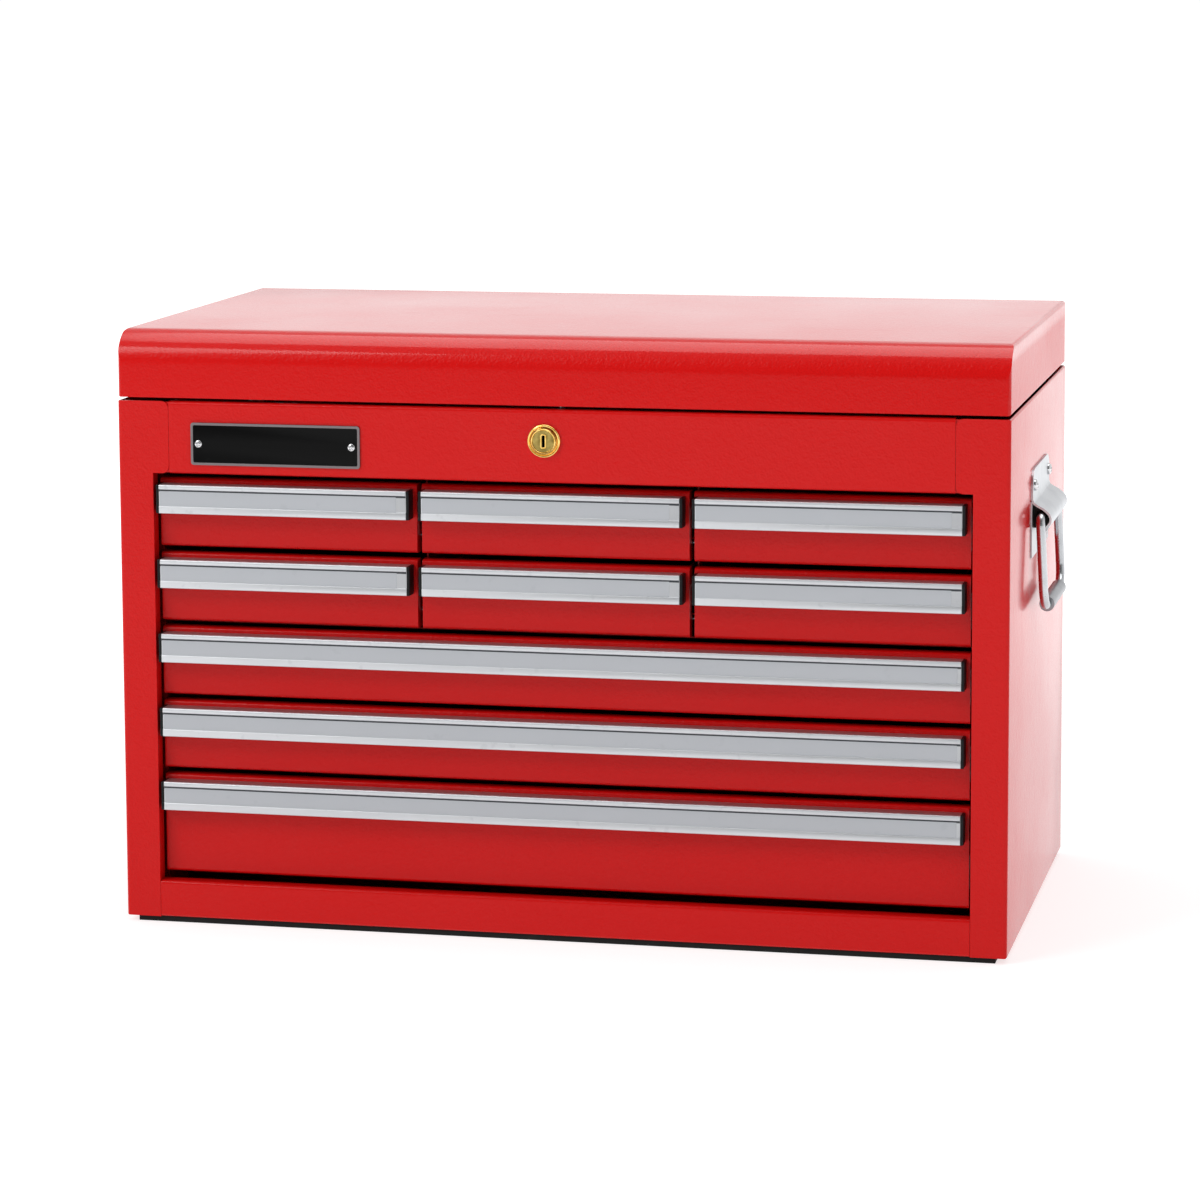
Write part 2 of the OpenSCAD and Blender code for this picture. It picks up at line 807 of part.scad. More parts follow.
// Extrudes a section along the drawer's front, leaving 'gap' at each end
module place_pull(i, gap) {
    x = [front_x(i, -1) + pull_inset_left + gap, front_x(i, 1) - pull_inset_right - gap];
    translate([0, face_y, front_top(row_of(i)) - pull_drop])
        along_x(x[0], x[1]) mirror([1, 0]) children();
}

module pull_caps(i) {
    ends = concat(pull_outline(), [[0.8, -pull_h], [0, 0.8 - pull_h]]);
    x = [front_x(i, -1) + pull_inset_left, front_x(i, 1) - pull_inset_right - cap_t];
    color([0.09, 0.10, 0.11]) for (x0 = x)
        translate([0, face_y, front_top(row_of(i)) - pull_drop])
            along_x(x0, x0 + cap_t) mirror([1, 0]) polygon(ends);
}

side_left();
side_right();
back_panel();
base_pan();
top_rail();
till_floor();
divider_shelf();
slide_supports();
cabinet_slides();
rubber_feet();
nameplate();
nameplate_screws();
lock_housing();
lock_cylinder();
lock_cam();
lid();
lid_strike();
hinge_cabinet_leaf();
hinge_lid_leaf();
hinge_pin();
strut_studs_cabinet();
strut_studs_lid();
strut_tube_left();
strut_tube_right();
strut_rod_left();
strut_rod_right();
handle_plate_left();
handle_plate_right();
handle_rivets();
bail_left();
bail_right();
grip_left();
grip_right();
for (i = [1:9]) {
    drawer(i);
    color([0.72, 0.73, 0.75]) pull(i);
    pull_caps(i);
}
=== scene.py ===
# %% [markdown]
# # A top tool chest, finished piece by piece
# The sizes and the joints of this chest come from a imported CAD model. This notebook gives it the
# looks: powder coat on folded steel, extruded aluminium pulls, brass lock, plated handles. Lengths
# are in metres. Places are read from the CAD nodes where they can be. Small offsets, colours, lamps
# and the size of added details are given in the script.

# %% Load the frame
import json
from math import cos, pi, radians, sin

import bmesh
import bpy
from mathutils import Matrix, Vector


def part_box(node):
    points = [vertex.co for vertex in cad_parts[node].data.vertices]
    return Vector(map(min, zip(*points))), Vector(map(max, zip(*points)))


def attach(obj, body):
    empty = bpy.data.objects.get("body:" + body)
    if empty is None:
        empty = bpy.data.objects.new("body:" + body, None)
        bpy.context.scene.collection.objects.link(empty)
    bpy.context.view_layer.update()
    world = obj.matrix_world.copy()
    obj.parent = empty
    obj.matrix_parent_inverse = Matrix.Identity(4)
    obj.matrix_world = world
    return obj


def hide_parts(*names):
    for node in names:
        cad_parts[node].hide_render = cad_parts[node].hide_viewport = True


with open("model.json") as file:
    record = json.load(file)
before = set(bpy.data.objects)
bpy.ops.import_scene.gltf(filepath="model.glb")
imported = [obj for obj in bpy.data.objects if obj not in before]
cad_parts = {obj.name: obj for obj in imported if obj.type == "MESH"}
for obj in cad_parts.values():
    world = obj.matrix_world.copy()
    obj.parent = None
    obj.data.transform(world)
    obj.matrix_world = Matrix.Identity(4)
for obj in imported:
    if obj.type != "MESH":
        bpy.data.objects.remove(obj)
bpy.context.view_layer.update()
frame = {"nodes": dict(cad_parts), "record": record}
MM = 0.001
nodes = frame["nodes"]
slot_of = {part["node"]: part["material_slot"] for part in frame["record"]["subparts"]}
drawers = range(1, 10)

# %% [markdown]
# ## Shader sums written as Python
# A finish is a small sum of masks: grain plus smudges, minus wear. Wiring every Math node by hand
# hides that sum. So a `Wire` wraps a socket and adds the Math nodes that its operators ask for, and
# `Finish.add` makes any other node from its type, its settings and its sockets.

# %% Wires and finishes
class Wire:
    """A number socket that can stand in a Python sum."""

    def __init__(self, finish, socket):
        self.finish = finish
        self.socket = socket

    def math(self, operation, a, b):
        return self.finish.add("Math", {"operation": operation}, {0: a, 1: b})

    def __add__(self, other):
        return self.math("ADD", self, other)

    def __rsub__(self, other):
        return self.math("SUBTRACT", other, self)

    def __mul__(self, other):
        return self.math("MULTIPLY", self, other)

    def __abs__(self):
        return self.math("ABSOLUTE", self, 0.0)

    def or_more(self, other):
        return self.math("MAXIMUM", self, other)

    __radd__ = __add__


class Finish:
    """A material under construction, with one Principled shader at its end."""

    def __init__(self, name, **constants):
        self.material = bpy.data.materials.new(name)
        self.material.use_nodes = True
        self.tree = self.material.node_tree
        self.tree.nodes.clear()
        self.shader = self.tree.nodes.new("ShaderNodeBsdfPrincipled")
        output = self.tree.nodes.new("ShaderNodeOutputMaterial")
        self.tree.links.new(self.shader.outputs[0], output.inputs["Surface"])
        for socket, value in constants.items():
            self.plug(self.shader.inputs[socket.replace("_", " ")], value)
        self.place = self.add("TexCoord", out="Object")

    def plug(self, socket, value):
        if isinstance(value, Wire):
            self.tree.links.new(value.socket, socket)
        else:
            socket.default_value = value

    def add(self, kind, settings=None, sockets=None, out=0):
        node = self.tree.nodes.new("ShaderNode" + kind)
        for key, value in (settings or {}).items():
            setattr(node, key, value)
        for key, value in (sockets or {}).items():
            self.plug(node.inputs[key], value)
        return Wire(self, node.outputs[out])

    def set(self, socket, value):
        self.plug(self.shader.inputs[socket], value)

    def noise(self, size, detail, stretch=(1, 1, 1)):
        """Soft noise whose blobs are about `size` metres across."""
        spread = self.add("Mapping", sockets={"Vector": self.place, "Scale": stretch})
        return self.add("TexNoise", sockets={"Vector": spread, "Scale": 1 / size, "Detail": detail})

    def cells(self, size):
        return self.add("TexVoronoi", {"feature": "SMOOTH_F1"}, {"Vector": self.place, "Scale": 1 / size})

    def part_of_place(self, axis):
        return self.add("SeparateXYZ", sockets={0: self.place}, out=axis)

    def band(self, wire, low, high):
        """0 below low, 1 above high, and a smooth step between."""
        settings = {"interpolation_type": "SMOOTHSTEP"}
        return self.add("MapRange", settings, {"Value": wire, "From Min": low, "From Max": high})

    def blend(self, mask, a, b):
        """Colour a where the mask is 0 and colour b where it is 1."""
        sockets = {0: mask, 6: a, 7: b}
        return self.add("Mix", {"data_type": "RGBA"}, sockets, out=2)

    def bump(self, height, depth, under=None):
        """Raises the surface by height times depth, on top of another bump."""
        sockets = {"Height": height, "Distance": depth, "Strength": 1.0}
        if under is not None:
            sockets["Normal"] = under
        return self.add("Bump", sockets=sockets)


def rgb(red, green, blue):
    """A colour given as it looks on screen, 0 to 255, made linear."""
    def linear(v):
        v = v / 255
        return v / 12.92 if v <= 0.04045 else ((v + 0.055) / 1.055) ** 2.4
    return (linear(red), linear(green), linear(blue), 1)


print("shader helpers ready")

# %% [markdown]
# ## Powder coat
# The steel is covered with baked powder, which melts into a gloss skin with a fine leathery grain
# about a millimetre across. Two bumps make it: cells for the pebbles and a wider noise for the slow
# orange peel. Faint smudges change the roughness, and a little dust dulls the colour in patches.
# The skin's index is set low, so that it glares only at a grazing angle and stays deep face on.
# The lid has a stronger coat, but only on its top and roll, in part on its ends, and thinly on its
# front. That is a choice of looks and not how a real coat behaves.

# %% Red powder coat
LID_HALF_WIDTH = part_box("lid")[1][0]
LID_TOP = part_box("lid")[1][2]
LOW_IOR = 1.20
THIN_COAT = 0.12
END_COAT = 0.45


def powder_coat(name, colour, dusty, grain=0.0002, gloss=0.26, coat_ior=LOW_IOR, coated_from=None):
    """Baked powder. With coated_from, the coat is full above that height, less on the lid's ends
    and thin elsewhere."""
    coat = Finish(name, IOR=LOW_IOR, Coat_IOR=coat_ior, Coat_Roughness=0.10)
    pebbles = coat.cells(0.0014)
    peel = coat.noise(0.0045, 3)
    smudge = coat.noise(0.09, 5)
    dust = coat.band(coat.noise(0.028, 7), 0.56, 0.80) * 0.3
    coat.set("Base Color", coat.blend(dust * 0.5, colour, dusty))
    coat.set("Roughness", gloss + smudge * 0.10 + dust * 0.12)
    weight = 0.85 - smudge * 0.25
    if coated_from is not None:
        across = abs(coat.part_of_place("X"))
        ends = coat.band(across, LID_HALF_WIDTH - 2.5 * MM, LID_HALF_WIDTH - 1.5 * MM)
        above = coat.band(coat.part_of_place("Z"), coated_from, coated_from + 12 * MM)
        weight = weight * (THIN_COAT + above.or_more(ends * END_COAT) * (1 - THIN_COAT))
    coat.set("Coat Weight", weight)
    coat.set("Normal", coat.bump(peel, grain * 1.5, coat.bump(pebbles, grain)))
    return coat.material


RED = rgb(206, 14, 13)
RED_DUSTY = rgb(200, 34, 31)
body_red = powder_coat("powder_coat_body", RED, RED_DUSTY)
lid_red = powder_coat("powder_coat_lid", RED, RED_DUSTY, coat_ior=1.5, coated_from=LID_TOP - 18 * MM)
drawer_red = powder_coat("powder_coat_drawer", rgb(202, 12, 12), RED_DUSTY)
# A darker copy of the body red for the parts inside the chest: painted shade.
shaded_inner_red = powder_coat("powder_coat_inside_shaded", rgb(150, 10, 10), rgb(140, 40, 38), gloss=0.45)
liner_black = powder_coat("powder_coat_till", rgb(38, 38, 40), rgb(70, 70, 70), gloss=0.5)
strut_black = powder_coat("strut_enamel", rgb(24, 24, 26), rgb(60, 60, 60), grain=0.00003)
print("powder coats:", body_red.name, lid_red.name, drawer_red.name)

# %% [markdown]
# ## Bare and plated metal
# Extruded and brushed metal is streaked along the way it was drawn, so its noise is stretched along
# one axis and feeds both roughness and bump. Zinc plate is cloudy instead. Turned brass has rings
# round its axis, which come from the distance to that axis.

# %% Metals
def drawn_metal(name, colour, dull, along, roughness=0.32, streak=0.000012):
    """Metal with fine lines along one axis: 0 is X, 1 is Y, 2 is Z."""
    metal = Finish(name, Metallic=1.0)
    stretch = [1, 1, 1]
    stretch[along] = 0.012
    lines = metal.noise(0.0007, 3, stretch)
    clouds = metal.noise(0.05, 5)
    nicks = metal.band(metal.noise(0.006, 8), 0.62, 0.72)
    metal.set("Base Color", metal.blend(clouds * 0.6 + nicks * 0.25, colour, dull))
    metal.set("Roughness", roughness + lines * 0.14 + clouds * 0.06 + nicks * 0.08)
    metal.set("Normal", metal.bump(lines, streak))
    return metal.material


def plated_metal(name, colour, dull, roughness=0.25):
    """Zinc or nickel plate: cloudy, with scattered fine scratches."""
    metal = Finish(name, Metallic=1.0)
    clouds = metal.noise(0.012, 6)
    spangle = metal.cells(0.004)
    scratch = metal.band(metal.noise(0.0009, 2, (1, 0.06, 0.5)), 0.66, 0.74)
    metal.set("Base Color", metal.blend(clouds * 0.7, colour, dull))
    metal.set("Roughness", roughness + clouds * 0.14 + spangle * 0.04 + scratch * 0.1)
    metal.set("Normal", metal.bump(clouds * 0.6 + scratch * 0.3, 0.000008))
    return metal.material


RING_PITCH = 0.45 * MM


def turned_metal(name, colour, dull, centre, roughness):
    """Metal turned on a lathe about a line along Y through centre, with rings from the tool."""
    metal = Finish(name, Metallic=1.0)
    shift = {"Vector": metal.place, "Location": (-centre.x, 0, -centre.z), "Scale": (1, 0, 1)}
    flat = metal.add("Mapping", sockets=shift)
    radius = metal.add("VectorMath", {"operation": "LENGTH"}, {0: flat}, out=1)
    rings = metal.add("Math", {"operation": "SINE"}, {0: radius * (2 * pi / RING_PITCH)})
    clouds = metal.noise(0.004, 5)
    metal.set("Base Color", metal.blend(metal.band(clouds, 0.35, 0.75), colour, dull))
    metal.set("Roughness", roughness + clouds * 0.12 + rings * 0.03)
    metal.set("Normal", metal.bump(rings * 0.5, 0.000008))
    return metal.material


lock_low, lock_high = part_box("lock_cylinder")
lock_centre = (lock_low + lock_high) / 2
pull_metal = drawn_metal("pull_extrusion", rgb(214, 216, 219), rgb(196, 198, 202), 0, 0.36)
slide_zinc = drawn_metal("slide_zinc", rgb(190, 192, 196), rgb(160, 163, 166), 1, 0.34)
hinge_metal = drawn_metal("hinge_steel", rgb(196, 196, 198), rgb(168, 168, 170), 0, 0.33)
part_zinc = plated_metal("zinc_plate", rgb(204, 205, 200), rgb(176, 178, 174))
handle_zinc = plated_metal("hanger_plate", rgb(216, 218, 221), rgb(190, 193, 197), 0.34)
grip_zinc = plated_metal("bail_grip_plate", rgb(168, 170, 174), rgb(142, 145, 149), 0.3)
bail_steel = plated_metal("bail_rod_plate", rgb(206, 208, 211), rgb(170, 172, 176), 0.16)
screw_steel = plated_metal("screw_nickel", rgb(222, 222, 224), rgb(190, 190, 192), 0.14)
rod_chrome = plated_metal("strut_chrome", rgb(228, 229, 231), rgb(208, 210, 212), 0.06)
ring_brass = turned_metal("lock_ring_brass", rgb(250, 214, 128), rgb(224, 176, 84), lock_centre, 0.12)
face_brass = turned_metal("lock_face_brass", rgb(176, 154, 88), rgb(128, 110, 56), lock_centre, 0.22)
print("metals ready, lock centre", lock_centre)

# %% [markdown]
# ## Rubber and moulded plastic
# The end caps and the nameplate are moulded, so they have a faint texture from the mould and no
# grain direction. The runners and the liner mats are rubbery and dusty.

# %% Plastics and rubber
def moulded(name, colour, worn, roughness, grain=0.0009, depth=0.00004, ior=1.3):
    plastic = Finish(name, IOR=ior)
    texture = plastic.cells(grain)
    clouds = plastic.noise(0.03, 5)
    scuff = plastic.band(plastic.noise(0.008, 7), 0.60, 0.74)
    plastic.set("Base Color", plastic.blend(clouds * 0.3 + scuff * 0.3, colour, worn))
    plastic.set("Roughness", roughness + clouds * 0.12 + scuff * 0.12)
    plastic.set("Normal", plastic.bump(texture, depth))
    return plastic.material


cap_plastic = moulded("end_cap_plastic", rgb(12, 12, 14), rgb(26, 27, 30), 0.38)
plate_black = moulded("nameplate_face", rgb(9, 9, 9), rgb(16, 16, 17), 0.32, 0.0006, 0.00001, 1.18)
rubber = moulded("runner_rubber", rgb(20, 20, 20), rgb(58, 56, 54), 0.72, 0.0013, 0.0001)
mat_foam = moulded("liner_foam", rgb(30, 30, 32), rgb(54, 53, 52), 0.8, 0.0012, 0.0002)
strip_grey = moulded("label_strip_grey", rgb(184, 187, 192), rgb(172, 175, 180), 0.34, 0.0012, 0.00001)
# Dark grey for a thin band under each pull's upper lip: painted shade for the lip's shadow line.
painted_shadow_line = moulded("label_painted_shadow_line", rgb(62, 64, 68), rgb(76, 78, 82), 0.5)
border_grey = moulded("nameplate_border", rgb(128, 120, 122), rgb(104, 98, 100), 0.3, 0.0007, 0.00002)
print("plastics ready")

# %% [markdown]
# ## From CAD solid to finished sheet metal
# A CAD node arrives as loose triangles with knife edges. Real folded steel has soft edges that catch
# a line of light. So each visible node is copied, its doubled points are merged, flat regions are
# joined, and a narrow bevel rounds what is left sharp. The copy keeps the node's outer size.

# %% Copy and soften a CAD node
finish_of = {
    "body_paint": body_red, "lid_paint": lid_red, "drawer_paint": drawer_red, "frame_paint": shaded_inner_red,
    "till_liner": liner_black, "zinc_slide": slide_zinc, "rubber": rubber, "plate_black": plate_black,
    "screw_steel": screw_steel, "lock_brass": ring_brass, "plug_brass": face_brass,
    "zinc_part": part_zinc, "hinge_steel": hinge_metal, "pin_steel": hinge_metal,
    "strut_black": strut_black, "strut_chrome": rod_chrome, "handle_zinc": handle_zinc,
    "bail_steel": bail_steel, "grip_steel": grip_zinc, "pull_aluminium": pull_metal,
    "cap_black": cap_plastic}


def shown(name, mesh, material, body):
    """Puts a finished mesh in the scene, riding on its body."""
    piece = bpy.data.objects.new(name, mesh)
    bpy.context.scene.collection.objects.link(piece)
    mesh.materials.clear()
    mesh.materials.append(material)
    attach(piece, body)
    return piece


SHARP = radians(32)


def smooth_by_angle(mesh):
    for face in mesh.polygons:
        face.use_smooth = True
    mesh.set_sharp_from_angle(angle=SHARP)


def soften(piece, width, segments=2):
    bevel = piece.modifiers.new("soft_edges", "BEVEL")
    bevel.width = width
    bevel.segments = segments
    bevel.limit_method = "ANGLE"
    bevel.angle_limit = SHARP
    bevel.harden_normals = True


def body_with(node):
    return next(b for b, names in frame["record"]["behaviour"]["bodies"].items() if node in names)


def refined(node, width, segments=2):
    """Replaces a CAD node with a merged, softened copy of itself."""
    mesh = nodes[node].data.copy()
    work = bmesh.new()
    work.from_mesh(mesh)
    bmesh.ops.remove_doubles(work, verts=work.verts, dist=1e-6)
    bmesh.ops.dissolve_limit(work, angle_limit=radians(0.4), verts=work.verts, edges=work.edges)
    work.to_mesh(mesh)
    work.free()
    smooth_by_angle(mesh)
    slot = slot_of[node]
    piece = shown(node + "_finish", mesh, finish_of[slot], body_with(node))
    soften(piece, width, segments)
    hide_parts(node)
    return piece


for node, cad in nodes.items():
    cad.data.materials.clear()
    cad.data.materials.append(finish_of[slot_of[node]])

shell = ["side_left", "side_right", "base_pan", "top_rail", "back_panel", "till_floor", "lid"]
for node in shell:
    refined(node, 0.4 * MM)
for i in drawers:
    refined(f"drawer_{i}", 0.3 * MM)
    refined(f"pull_{i}", 0.25 * MM)
    refined(f"pull_caps_{i}", 0.7 * MM, 3)
for node in ["lock_cylinder", "handle_plate_left", "handle_plate_right", "nameplate", "grip_left",
             "grip_right", "bail_left", "bail_right", "rubber_feet", "cabinet_slides", "slide_supports",
             "divider_shelf", "lock_cam", "lid_strike", "strut_studs_cabinet", "strut_studs_lid",
             "strut_tube_left", "strut_tube_right", "strut_rod_left", "strut_rod_right"]:
    refined(node, 0.25 * MM)
for node in ["hinge_cabinet_leaf", "hinge_lid_leaf", "hinge_pin"]:
    refined(node, 0.12 * MM)

# %% [markdown]
# ## Shapes made from an outline
# Strips, mats and borders are flat outlines pushed along an axis. Screw heads, rivets and the ring
# round the lock are profiles turned about an axis. Both helpers give closed meshes with their
# normals facing out.

# %% Outlines and turned shapes
def closed(name, work):
    bmesh.ops.remove_doubles(work, verts=work.verts, dist=1e-7)
    bmesh.ops.recalc_face_normals(work, faces=work.faces)
    mesh = bpy.data.meshes.new(name)
    work.to_mesh(mesh)
    work.free()
    smooth_by_angle(mesh)
    return mesh


def rounded(low, high, radius, steps=5):
    """A rectangle with round corners, as a list of pairs."""
    points = []
    for corner, (sx, sy) in enumerate([(1, 1), (0, 1), (0, 0), (1, 0)]):
        cx = high[0] - radius if sx else low[0] + radius
        cy = high[1] - radius if sy else low[1] + radius
        for step in range(steps + 1):
            turn = pi / 2 * (corner + step / steps)
            points.append((cx + radius * cos(turn), cy + radius * sin(turn)))
    return points


def pushed(name, outline, axis, low, high, hole=None):
    """A flat outline pushed along an axis, with an optional hole of as many points."""
    work = bmesh.new()
    loops = [outline] if hole is None else [outline, hole]

    def ring(points, level):
        places = [list(p[:axis]) + [level] + list(p[axis:]) for p in points]
        return [work.verts.new(place) for place in places]
    ends = [[ring(points, level) for points in loops] for level in (low, high)]
    count = len(outline)
    for rings in ends:
        if hole is None:
            work.faces.new(rings[0])
            continue
        for i in range(count):
            j = (i + 1) % count
            work.faces.new((rings[0][i], rings[0][j], rings[1][j], rings[1][i]))
    for start, finish in zip(*ends):
        for i in range(count):
            j = (i + 1) % count
            work.faces.new((start[i], start[j], finish[j], finish[i]))
    return closed(name, work)


def turned(name, profile, segments=64):
    """A profile of (radius, height) pairs turned about Z."""
    work = bmesh.new()
    rings = []
    for radius, height in profile:
        if radius == 0:
            rings.append([work.verts.new((0, 0, height))] * segments)
            continue
        turns = [2 * pi * i / segments for i in range(segments)]
        rings.append([work.verts.new((radius * cos(t), radius * sin(t), height)) for t in turns])
    for near, far in zip(rings, rings[1:]):
        for i in range(segments):
            j = (i + 1) % segments
            corners = list(dict.fromkeys((near[i], near[j], far[j], far[i])))
            work.faces.new(corners)
    return closed(name, work)


def screw_head(name, radius, dome, slot, reach, rings=12, segments=48):
    """A domed head with a cross recess, whose seat is at height 0."""
    work = bmesh.new()

    def height(x, y):
        round_part = dome * (1 - (x * x + y * y) / (radius * radius)) ** 0.5
        inside = [min(abs(a) / slot, abs(b) / reach) < 1 and max(abs(a) / slot, abs(b) / reach) < 1
                  for a, b in ((x, y), (y, x))]
        return dome * 0.25 + round_part * 0.75 - (dome * 0.45 if any(inside) else 0)
    top = work.verts.new((0, 0, height(0, 0)))
    loops = []
    for ring in range(1, rings + 1):
        r = radius * ring / rings * 0.9999
        turns = [2 * pi * i / segments for i in range(segments)]
        places = [(r * cos(t), r * sin(t)) for t in turns]
        loops.append([work.verts.new((x, y, height(x, y))) for x, y in places])
    loops.append([work.verts.new((v.co.x, v.co.y, 0)) for v in loops[-1]])
    for i in range(segments):
        work.faces.new((top, loops[0][i], loops[0][(i + 1) % segments]))
    for near, far in zip(loops, loops[1:]):
        for i in range(segments):
            j = (i + 1) % segments
            work.faces.new((near[i], far[i], far[j], near[j]))
    work.faces.new(loops[-1])
    return closed(name, work)


def ball(name, radius):
    work = bmesh.new()
    bmesh.ops.create_icosphere(work, subdivisions=2, radius=radius)
    return closed(name, work)


def joined(name, meshes):
    work = bmesh.new()
    for mesh in meshes:
        work.from_mesh(mesh)
    mesh = bpy.data.meshes.new(name)
    work.to_mesh(mesh)
    work.free()
    smooth_by_angle(mesh)
    return mesh


dome_rivet = turned("dome_rivet", [(0, 1.0 * MM), (1.1 * MM, 0.88 * MM), (1.9 * MM, 0.5 * MM),
                                   (2.4 * MM, 0), (0, 0)], 24)
weld_mark = turned("weld_mark", [(0, 0.12 * MM), (1.0 * MM, 0.1 * MM), (1.7 * MM, 0.22 * MM),
                                 (2.3 * MM, 0), (0, 0)], 20)
plate_screw = screw_head("plate_screw", 2.7 * MM, 1.6 * MM, 0.45 * MM, 1.6 * MM)
hanger_screw = screw_head("hanger_screw", 4.1 * MM, 2.7 * MM, 0.6 * MM, 2.4 * MM)
bearing = ball("bearing", 0.88 * MM)
print("small parts:", dome_rivet.name, plate_screw.name, bearing.name)

# %% [markdown]
# ## Things that repeat
# Rivets, weld marks, bearing balls, mat ribs and screws are one small mesh set out on a grid. One
# Geometry Nodes tree does that: a line of points, repeated in rows, with the part put on each point,
# turned to face out and spun a little at random from a fixed seed. Its result is turned into a plain
# mesh, so nothing live stays in the scene.

# %% The repeat tree
REPEAT_INPUTS = {
    "Part": "NodeSocketObject", "Facing": "NodeSocketVector", "Start": "NodeSocketVector",
    "Step": "NodeSocketVector", "Count": "NodeSocketInt", "Row Step": "NodeSocketVector",
    "Rows": "NodeSocketInt", "Spin": "NodeSocketVector", "Seed": "NodeSocketInt",
    "Finish": "NodeSocketMaterial"}


def repeat_tree():
    tree = bpy.data.node_groups.new("repeat_on_a_grid", "GeometryNodeTree")
    for name, kind in REPEAT_INPUTS.items():
        tree.interface.new_socket(name, in_out="INPUT", socket_type=kind)
    tree.interface.new_socket("Geometry", in_out="OUTPUT", socket_type="NodeSocketGeometry")
    inlet = tree.nodes.new("NodeGroupInput").outputs

    def add(kind, wires, **settings):
        node = tree.nodes.new(kind)
        for key, value in settings.items():
            setattr(node, key, value)
        for socket, source in wires.items():
            if hasattr(source, "is_output"):
                tree.links.new(source, node.inputs[socket])
            else:
                node.inputs[socket].default_value = source
        return node.outputs[0]

    line = add("GeometryNodeMeshLine", {"Count": inlet["Count"], "Start Location": inlet["Start"],
                                        "Offset": inlet["Step"]}, mode="OFFSET")
    rows = add("GeometryNodeMeshLine", {"Count": inlet["Rows"], "Offset": inlet["Row Step"]},
               mode="OFFSET")
    grid = add("GeometryNodeRealizeInstances", {0: add(
        "GeometryNodeInstanceOnPoints", {"Points": rows, "Instance": line})})
    part = tree.nodes.new("GeometryNodeObjectInfo")
    tree.links.new(inlet["Part"], part.inputs["Object"])
    back = add("ShaderNodeVectorMath", {0: inlet["Spin"], "Scale": -1.0}, operation="SCALE")
    spin = add("FunctionNodeRandomValue", {0: back, 1: inlet["Spin"], "Seed": inlet["Seed"]},
               data_type="FLOAT_VECTOR")
    placed = add("GeometryNodeInstanceOnPoints", {"Points": grid, "Instance": part.outputs["Geometry"],
                                                  "Rotation": inlet["Facing"]})
    spun = add("GeometryNodeRotateInstances", {"Instances": placed, "Rotation": spin,
                                               "Local Space": True})
    solid = add("GeometryNodeRealizeInstances", {0: spun})
    dressed = add("GeometryNodeSetMaterial", {"Geometry": solid, "Material": inlet["Finish"]})
    tree.links.new(dressed, tree.nodes.new("NodeGroupOutput").inputs[0])
    return tree


repeat_group = repeat_tree()
repeat_ids = {item.name: item.identifier for item in repeat_group.interface.items_tree
              if item.in_out == "INPUT"}
print("repeat tree inputs:", ", ".join(repeat_ids))

# %% Run the tree to a plain mesh
FACE = {"+x": (0, pi / 2, 0), "-x": (0, -pi / 2, 0), "+y": (-pi / 2, 0, 0), "-y": (pi / 2, 0, 0),
        "+z": (0, 0, 0)}


def repeated(part, finish, facing, start, step, count, row_step=(0, 0, 0), rows=1, spin=0.0,
             seed=7):
    """A mesh of `count` by `rows` copies of a small part, turned to face one way."""
    source = bpy.data.objects.new("part_source", part)
    host = bpy.data.objects.new("repeat_host", bpy.data.meshes.new("repeat_host"))
    bpy.context.scene.collection.objects.link(source)
    bpy.context.scene.collection.objects.link(host)
    modifier = host.modifiers.new("repeat", "NODES")
    values = {"Part": source, "Facing": FACE[facing], "Start": start, "Step": step, "Count": count,
              "Row Step": row_step, "Rows": rows, "Spin": (0, 0, spin), "Seed": seed, "Finish": finish}
    modifier.node_group = repeat_group
    for name, value in values.items():
        modifier[repeat_ids[name]] = value
    bpy.context.view_layer.update()
    mesh = bpy.data.meshes.new_from_object(host.evaluated_get(bpy.context.evaluated_depsgraph_get()))
    host.modifiers.remove(modifier)
    bpy.data.objects.remove(host)
    bpy.data.objects.remove(source)
    return mesh


def low_high(node):
    low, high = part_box(node)
    return Vector(low), Vector(high)


# %% [markdown]
# ## Screws, rivets and weld marks
# The hangers and the nameplate are screwed on, the long hinge is riveted through both leaves, and the
# sides are spot welded to the back panel. The CAD's plain studs are replaced by domed heads.

# %% Screws and rivets
HANGER_SHEET = 1.5 * MM
SIDE_SHEET = 1.2 * MM
HANGER_HEAD_R = 3.3 * MM
PLATE_HEAD_R = 2.7 * MM
PIN_GAP = 3 * MM
RIVET_PITCH = 40 * MM
low, high = low_high("handle_rivets")
wall_x = low_high("side_right")[1].x
seat_x = wall_x + HANGER_SHEET
rivet_y = high.y - HANGER_HEAD_R
rivet_z = (low.z + high.z) / 2
rows = []
for side, face in ((1, "+x"), (-1, "-x")):
    rows.append(repeated(hanger_screw, screw_steel, face, (side * seat_x, -rivet_y, rivet_z),
                         (0, 2 * rivet_y, 0), 2, spin=0.6, seed=3 + side))
    inner = "-x" if side > 0 else "+x"
    rows.append(repeated(dome_rivet, screw_steel, inner,
                         (side * (wall_x - SIDE_SHEET), -rivet_y, rivet_z), (0, 2 * rivet_y, 0), 2))
heads = shown("hanger_screws", joined("hanger_screws", rows), screw_steel, "cabinet")
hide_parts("handle_rivets")

low, high = low_high("nameplate_screws")
seat = (low.x + PLATE_HEAD_R, low.y + 1.4 * MM, (low.z + high.z) / 2)
span = high.x - low.x - 2 * PLATE_HEAD_R
heads = shown("nameplate_screw_heads",
              repeated(plate_screw, screw_steel, "-y", seat, (span, 0, 0), 2, spin=0.5, seed=5),
              screw_steel, "cabinet")
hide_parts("nameplate_screws")

